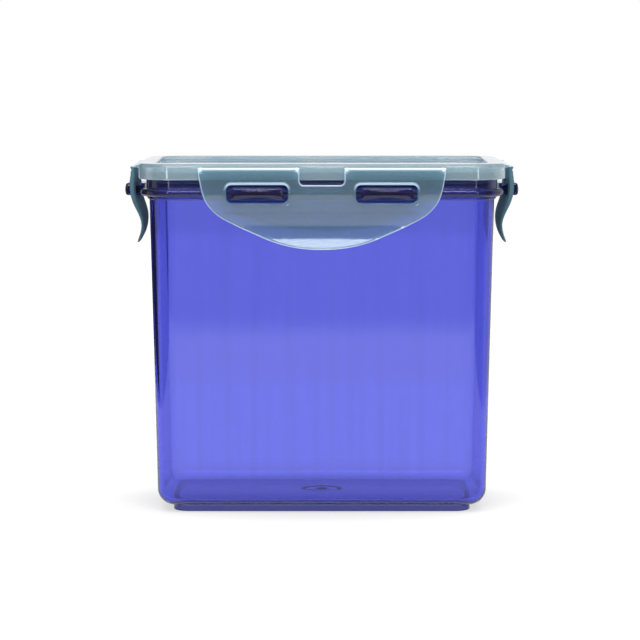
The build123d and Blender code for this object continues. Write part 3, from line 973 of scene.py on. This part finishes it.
def milky_plastic(name, milk, backlit, clear, grain, dye_density, base_rough=0.035, waves=0.05,
                  coat=0.9, coat_ior=1.5, mirror=0.5, painted_edge_pale=0.55, painted_edge_glow=0.2, painted_upward_shade=0.0,
                  tint=(0.94, 0.97, 0.98), dye=(0.38, 0.62, 0.72), plate=False):
    """Clear plastic with a milky part: light passes, and some is scattered on the way.
    milk is the milky part's colour, backlit its translucent share, clear the glass share.
    Edges get a painted highlight: they turn pale and glow by emission, each by its own amount.
    Surfaces that face partly upwards can get painted shade: a duller reflection and a darker
    colour.
    A plate looks dark teal when seen along its hinge."""
    net = new_material(name)
    look = surface_detail(net, grain=grain, waves=waves, scratch=0.10, base_rough=base_rough,
                          spread=0.03)
    edge = look.edge
    if plate:
        end_on = seen_along_hinge(net)
        face_on = net.minus(1.0, end_on)
        edge = net.times(edge, face_on)
    cloud = net.plus(net.times(look.slow, 0.6), net.times(look.mid, 0.4))
    colour = net.colour(cloud, tuple(c * 0.92 for c in milk),
                        tuple(min(1, c * 1.08) for c in milk))
    # painted highlight along edges: a paler colour and a smaller clear share here, and an
    # emission glow below
    pale = net.math("MULTIPLY", edge, painted_edge_pale, clamp=True)
    colour = net.colour(pale, colour, (0.88, 0.93, 1.0))
    share = net.minus(clear, net.times(edge, 0.34), clamp=True)
    share = net.minus(share, net.times(look.hair, 0.03), clamp=True)
    milk_mirror, milk_coat, glass_coat, glass_rough = 0.5, coat, coat, look.rough
    # painted shade: surfaces that face partly upwards reflect less and turn darker, dimming the
    # softbox's highlight on the lid's shoulder
    if painted_upward_shade:
        upward = net.split(net.add("NewGeometry", output="Normal"))[2]
        slanted = net.times(net.ramp(upward, span=(0.12, 0.26)),
                            net.ramp(upward, span=(0.78, 0.93), to=(1.0, 0.0)))
        keep = net.minus(1.0, net.times(slanted, painted_upward_shade))
        milk_mirror = net.times(keep, 0.5)
        milk_coat = glass_coat = net.times(keep, coat)
        mirror = net.times(keep, mirror)
        colour = net.colour(slanted, colour, tuple(c * 0.72 for c in milk))
    if plate:
        colour = net.colour(end_on, colour, (0.15, 0.27, 0.33))
        share = net.minus(share, net.times(end_on, 0.68), clamp=True)
        milk_mirror = net.times(face_on, 0.5)
        milk_coat = net.times(face_on, coat)
        # painted shade below the grip's step
        tint = net.colour(net.attribute("grip_shade"), tint, (0.70, 0.76, 0.88))
        glass_coat, glass_rough = 0.9, net.plus(look.rough, 0.10)
    shared = dict(IOR=1.49, Coat_Roughness=0.03, Coat_IOR=coat_ior, Normal=look.bump)
    glass = net.add("BsdfPrincipled", Base_Color=tint, Roughness=glass_rough,
                    Transmission_Weight=1.0, Specular_IOR_Level=mirror,
                    Coat_Weight=glass_coat, **shared)
    # the emission along edges is a painted highlight
    solid = net.add("BsdfPrincipled", Base_Color=colour, Roughness=net.plus(look.rough, 0.2),
                    Specular_IOR_Level=milk_mirror, Sheen_Weight=0.05, Coat_Weight=milk_coat,
                    Emission_Color=(0.64, 0.75, 1.0),
                    Emission_Strength=net.times(edge, painted_edge_glow), **shared)
    back = net.add("BsdfTranslucent", Color=colour)
    seen = net.mix(share, net.mix(backlit, solid, back), glass)
    through = net.add("BsdfTransparent", Color=(0.62, 0.70, 0.72))
    shadow = net.add("LightPath", output="Is Shadow Ray")
    volume = net.add("VolumeAbsorption", Color=dye, Density=dye_density)
    return net.finish(net.mix(shadow, seen, through), volume)


def silicone():
    """Soft, dull and slightly dusty."""
    net = new_material("soft_silicone")
    look = surface_detail(net, grain=0.3, waves=0.05, scratch=0.05, base_rough=0.42,
                          spread=0.14)
    dust = net.ramp(net.noise(look.position, scale=900, detail=2), span=(0.62, 0.72))
    colour = net.colour(look.mid, (0.62, 0.70, 0.74), (0.76, 0.82, 0.85))
    colour = net.colour(net.times(dust, 0.3), colour, (0.86, 0.88, 0.88))
    solid = net.add("BsdfPrincipled", Base_Color=colour, Roughness=look.rough, IOR=1.41,
                    Sheen_Weight=0.25, Transmission_Weight=0.25, Normal=look.bump)
    back = net.add("BsdfTranslucent", Color=colour)
    backlit = 0.35
    return net.finish(net.mix(backlit, solid, back))


# ------------------------------------------------------------------ assembly
def finish_piece(obj, material, node, body=None):
    obj.data.materials.clear()
    obj.data.materials.append(material)
    if body:
        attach(obj, body)
    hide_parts(node)


violet = clear_violet()
lid_plastic = milky_plastic("lid_milky_plastic", milk=(0.56, 0.71, 0.77), backlit=0.35,
                            clear=0.58, grain=0.04, waves=0.015, coat=1.0, coat_ior=1.75,
                            painted_edge_glow=0.5, painted_upward_shade=0.85, tint=(0.89, 0.95, 0.965),
                            dye=(0.56, 0.66, 0.72), dye_density=55)
flap_plastic = milky_plastic("flap_milky_plastic", milk=(0.35, 0.49, 0.57), backlit=0.3,
                             clear=0.70, grain=0.04, base_rough=0.02, waves=0.006, mirror=0.1,
                             painted_edge_pale=0.95, painted_edge_glow=1.5, tint=(0.89, 0.965, 0.98),
                             dye=(0.32, 0.66, 0.74), dye_density=560, plate=True)
film_plastic = milky_plastic("film_flexed_plastic", milk=(0.88, 0.93, 0.95), backlit=0.4,
                             clear=0.25, grain=0.2, base_rough=0.05, painted_edge_glow=0.3,
                             dye_density=60)
seal_rubber = silicone()

finish_piece(build_container(), violet, "container_body", body="container")
finish_piece(build_lid(), lid_plastic, "lid_panel", body="lid")
finish_piece(build_seal(), seal_rubber, "seal_ring", body="lid")
for side in LID_FACE:
    finish_piece(build_flap(side), flap_plastic, side + "_flap",
                 body=side + "_latch")
for side, suffixes in HINGE_SUFFIXES.items():
    for suffix in suffixes:
        finish_piece(build_film(side + suffix, side), film_plastic, side + suffix)


# ------------------------------------------------------------------ stage, in metres
def floor_material():
    """Paper near the container, turning into even white light away from it."""
    net = new_material("pale_floor")
    position = net.add("TexCoord", output="Object")
    speck = net.noise(position, scale=30, detail=4)
    x, y, _ = net.split(position)
    away = net.math("SQRT", net.plus(net.math("POWER", x, 2.0),
                                     net.math("POWER", net.times(y, 1.75), 2.0)))
    lift = net.math("ADD", net.ramp(away, span=(0.055, 0.115), to=(0.50, 0.82)),
                    net.ramp(away, span=(0.10, 0.24), to=(0.0, 0.20)), clamp=True)
    paper = net.add("BsdfPrincipled", Roughness=0.75, Specular_IOR_Level=0.1,
                    Base_Color=net.colour(speck, (0.91, 0.91, 0.91), (0.93, 0.93, 0.93)))
    glow = net.add("Emission", Color=(1, 1, 1), Strength=1.12)
    # the front end of the sheet fades out
    fade = net.ramp(y, span=(-0.61, -0.51))
    gone = net.add("BsdfTransparent", Color=(1, 1, 1))
    return net.finish(net.mix(fade, gone, net.mix(lift, paper, glow)))


def build_floor():
    half_width, front, back = 0.34, -0.7, 1.6
    mesh = bpy.data.meshes.new("floor")
    mesh.from_pydata([(-half_width, front, 0), (half_width, front, 0), (half_width, back, 0),
                      (-half_width, back, 0)], [], [(0, 1, 2, 3)])
    floor = bpy.data.objects.new("floor", mesh)
    floor.location = (0, 0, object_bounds()[0][2] - 0.0002)
    bpy.context.scene.collection.objects.link(floor)
    mesh.materials.append(floor_material())


def build_world():
    """Soft studio surround: white behind and above, lit sides, dark on the camera's side."""
    world = bpy.data.worlds.new("studio")
    bpy.context.scene.world = world
    net = Nodes(world, "ShaderNodeOutputWorld")
    across, _, ahead = net.split(net.add("TexCoord", output="Camera"))
    up = net.split(net.add("TexCoord", output="Generated"))[2]
    off_centre = net.size(net.minus(across, 0.11))
    behind = net.times(net.ramp(ahead, span=(0.70, 0.85)),
                       net.ramp(off_centre, span=(0.28, 0.42), to=(1.0, 0.0)))
    overhead = net.times(net.ramp(up, span=(0.62, 0.95)), 1.1)
    left = net.ramp(across, span=(-0.985, -0.95), to=(0.75, 0.0))
    right = net.times(net.ramp(across, span=(0.26, 0.5)),
                      net.ramp(ahead, span=(-0.35, 0.2), to=(0.0, 0.8)))
    dimmest = 0.045
    level = net.largest(behind, overhead, net.largest(left, right), dimmest)
    # the camera itself sees plain white
    seen = net.largest(level, net.add("LightPath", output="Is Camera Ray"))
    net.finish(net.add("Background", Color=(1, 1, 1), Strength=seen))


def softbox(name, location, aim, size, watts):
    light = bpy.data.lights.new(name, "AREA")
    light.shape, light.energy = "RECTANGLE", watts
    light.size, light.size_y = size
    obj = bpy.data.objects.new(name, light)
    obj.location = location
    obj.rotation_euler = (Vector(aim) - Vector(location)).to_track_quat("-Z", "Y").to_euler()
    bpy.context.scene.collection.objects.link(obj)


def build_camera():
    camera = bpy.data.cameras.new("camera")
    camera.lens, camera.sensor_width = 155.8, 36.0
    obj = bpy.data.objects.new("camera", camera)
    obj.location = (-0.0008, -1.205, 0.2065)
    obj.rotation_euler = (math.radians(84.0), 0, 0)
    bpy.context.scene.collection.objects.link(obj)
    bpy.context.scene.camera = obj


build_floor()
build_world()
softbox("key_softbox", location=(0.0, -0.935, 1.063), aim=(0, 0, 0.12), size=(1.1, 0.58),
        watts=12.3)
softbox("left_strip", location=(-0.55, -1.15, 0.42), aim=(0, 0, 0.08), size=(0.09, 0.8),
        watts=0.9)
softbox("right_strip", location=(0.62, -1.1, 0.42), aim=(0, 0, 0.08), size=(0.06, 0.8),
        watts=0.7)
build_camera()

scene = bpy.context.scene
scene.view_settings.view_transform = "Standard"
scene.view_settings.look = "None"
scene.cycles.max_bounces = 26
scene.cycles.transmission_bounces = 24
scene.cycles.transparent_max_bounces = 24
scene.cycles.glossy_bounces = 8
scene.cycles.diffuse_bounces = 4
scene.cycles.sample_clamp_indirect = 6.0
